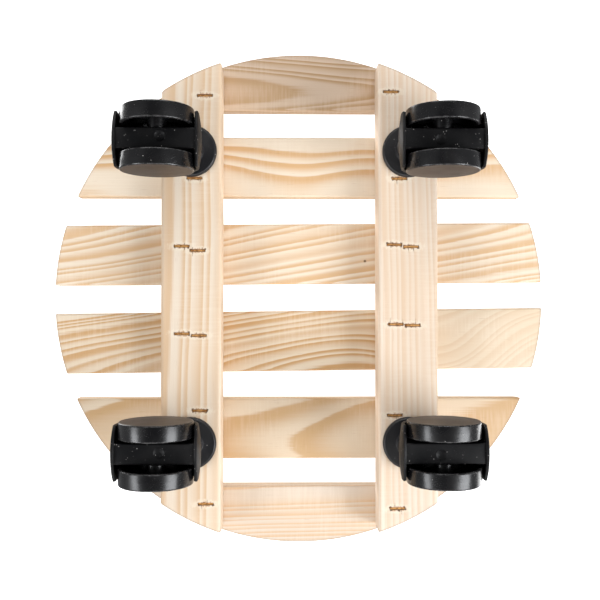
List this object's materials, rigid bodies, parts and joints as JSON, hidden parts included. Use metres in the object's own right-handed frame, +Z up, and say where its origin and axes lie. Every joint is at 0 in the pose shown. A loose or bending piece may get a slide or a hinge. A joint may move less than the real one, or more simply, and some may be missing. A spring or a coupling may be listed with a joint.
{
  "type": "plant pot caddy",
  "caption": "Round slatted wooden deck on two cross rails, carried by hooded twin-wheel swivel casters, for moving a heavy plant pot.",
  "frame": {"origin": "on the floor under the middle of the deck", "axes": "+Z up, standing on its wheels; the slats run along X and the rails along Y; the front is at -Y"},
  "size_m": [0.2996, 0.3, 0.0813],
  "materials": {
    "wood": "bare planed pine, sanded on the sawn ends",
    "black_plastic": "semi-gloss moulded black plastic",
    "steel": "bright turned steel",
    "staple_wire": "lacquered golden staple wire, dulled"
  },
  "bodies": {
    "deck": {"slat_1": "wood", "slat_2": "wood", "slat_3": "wood", "slat_4": "wood", "slat_5": "wood", "slat_6": "wood", "rail_left": "wood", "rail_right": "wood", "staple_left_slat_1_1": "staple_wire", "staple_left_slat_2_1": "staple_wire", "staple_left_slat_3_1": "staple_wire", "staple_left_slat_3_2": "staple_wire", "staple_left_slat_4_1": "staple_wire", "staple_left_slat_4_2": "staple_wire", "staple_left_slat_5_1": "staple_wire", "staple_left_slat_6_1": "staple_wire", "staple_right_slat_1_1": "staple_wire", "staple_right_slat_2_1": "staple_wire", "staple_right_slat_3_1": "staple_wire", "staple_right_slat_3_2": "staple_wire", "staple_right_slat_4_1": "staple_wire", "staple_right_slat_4_2": "staple_wire", "staple_right_slat_5_1": "staple_wire", "staple_right_slat_6_1": "staple_wire", "front_left_socket": "black_plastic", "front_right_socket": "black_plastic", "back_left_socket": "black_plastic", "back_right_socket": "black_plastic"},
    "front_left_caster": {"front_left_hood": "black_plastic", "front_left_stem": "steel", "front_left_grip_ring": "steel", "front_left_axle": "steel"},
    "front_left_inner_wheel": {"front_left_wheel_inner": "black_plastic"},
    "front_left_outer_wheel": {"front_left_wheel_outer": "black_plastic"},
    "front_right_caster": {"front_right_hood": "black_plastic", "front_right_stem": "steel", "front_right_grip_ring": "steel", "front_right_axle": "steel"},
    "front_right_inner_wheel": {"front_right_wheel_inner": "black_plastic"},
    "front_right_outer_wheel": {"front_right_wheel_outer": "black_plastic"},
    "back_left_caster": {"back_left_hood": "black_plastic", "back_left_stem": "steel", "back_left_grip_ring": "steel", "back_left_axle": "steel"},
    "back_left_inner_wheel": {"back_left_wheel_inner": "black_plastic"},
    "back_left_outer_wheel": {"back_left_wheel_outer": "black_plastic"},
    "back_right_caster": {"back_right_hood": "black_plastic", "back_right_stem": "steel", "back_right_grip_ring": "steel", "back_right_axle": "steel"},
    "back_right_inner_wheel": {"back_right_wheel_inner": "black_plastic"},
    "back_right_outer_wheel": {"back_right_wheel_outer": "black_plastic"}
  },
  "joints": [
    {"name": "front_left_swivel", "type": "hinge", "parent": "deck", "child": "front_left_caster", "pos_m": [-0.0642, -0.086, 0.047], "axis": [0, 0, 1], "continuous": true},
    {"name": "front_left_inner_wheel_roll", "type": "hinge", "parent": "front_left_caster", "child": "front_left_inner_wheel", "pos_m": [-0.0792, -0.086, 0.0205], "axis": [0, 1, 0], "continuous": true},
    {"name": "front_left_outer_wheel_roll", "type": "hinge", "parent": "front_left_caster", "child": "front_left_outer_wheel", "pos_m": [-0.0792, -0.086, 0.0205], "axis": [0, 1, 0], "continuous": true},
    {"name": "front_right_swivel", "type": "hinge", "parent": "deck", "child": "front_right_caster", "pos_m": [0.0642, -0.086, 0.047], "axis": [0, 0, 1], "continuous": true},
    {"name": "front_right_inner_wheel_roll", "type": "hinge", "parent": "front_right_caster", "child": "front_right_inner_wheel", "pos_m": [0.0792, -0.086, 0.0205], "axis": [0, 1, 0], "continuous": true},
    {"name": "front_right_outer_wheel_roll", "type": "hinge", "parent": "front_right_caster", "child": "front_right_outer_wheel", "pos_m": [0.0792, -0.086, 0.0205], "axis": [0, 1, 0], "continuous": true},
    {"name": "back_left_swivel", "type": "hinge", "parent": "deck", "child": "back_left_caster", "pos_m": [-0.0642, 0.086, 0.047], "axis": [0, 0, 1], "continuous": true},
    {"name": "back_left_inner_wheel_roll", "type": "hinge", "parent": "back_left_caster", "child": "back_left_inner_wheel", "pos_m": [-0.0792, 0.086, 0.0205], "axis": [0, 1, 0], "continuous": true},
    {"name": "back_left_outer_wheel_roll", "type": "hinge", "parent": "back_left_caster", "child": "back_left_outer_wheel", "pos_m": [-0.0792, 0.086, 0.0205], "axis": [0, 1, 0], "continuous": true},
    {"name": "back_right_swivel", "type": "hinge", "parent": "deck", "child": "back_right_caster", "pos_m": [0.0642, 0.086, 0.047], "axis": [0, 0, 1], "continuous": true},
    {"name": "back_right_inner_wheel_roll", "type": "hinge", "parent": "back_right_caster", "child": "back_right_inner_wheel", "pos_m": [0.0792, 0.086, 0.0205], "axis": [0, 1, 0], "continuous": true},
    {"name": "back_right_outer_wheel_roll", "type": "hinge", "parent": "back_right_caster", "child": "back_right_outer_wheel", "pos_m": [0.0792, 0.086, 0.0205], "axis": [0, 1, 0], "continuous": true}
  ]
}
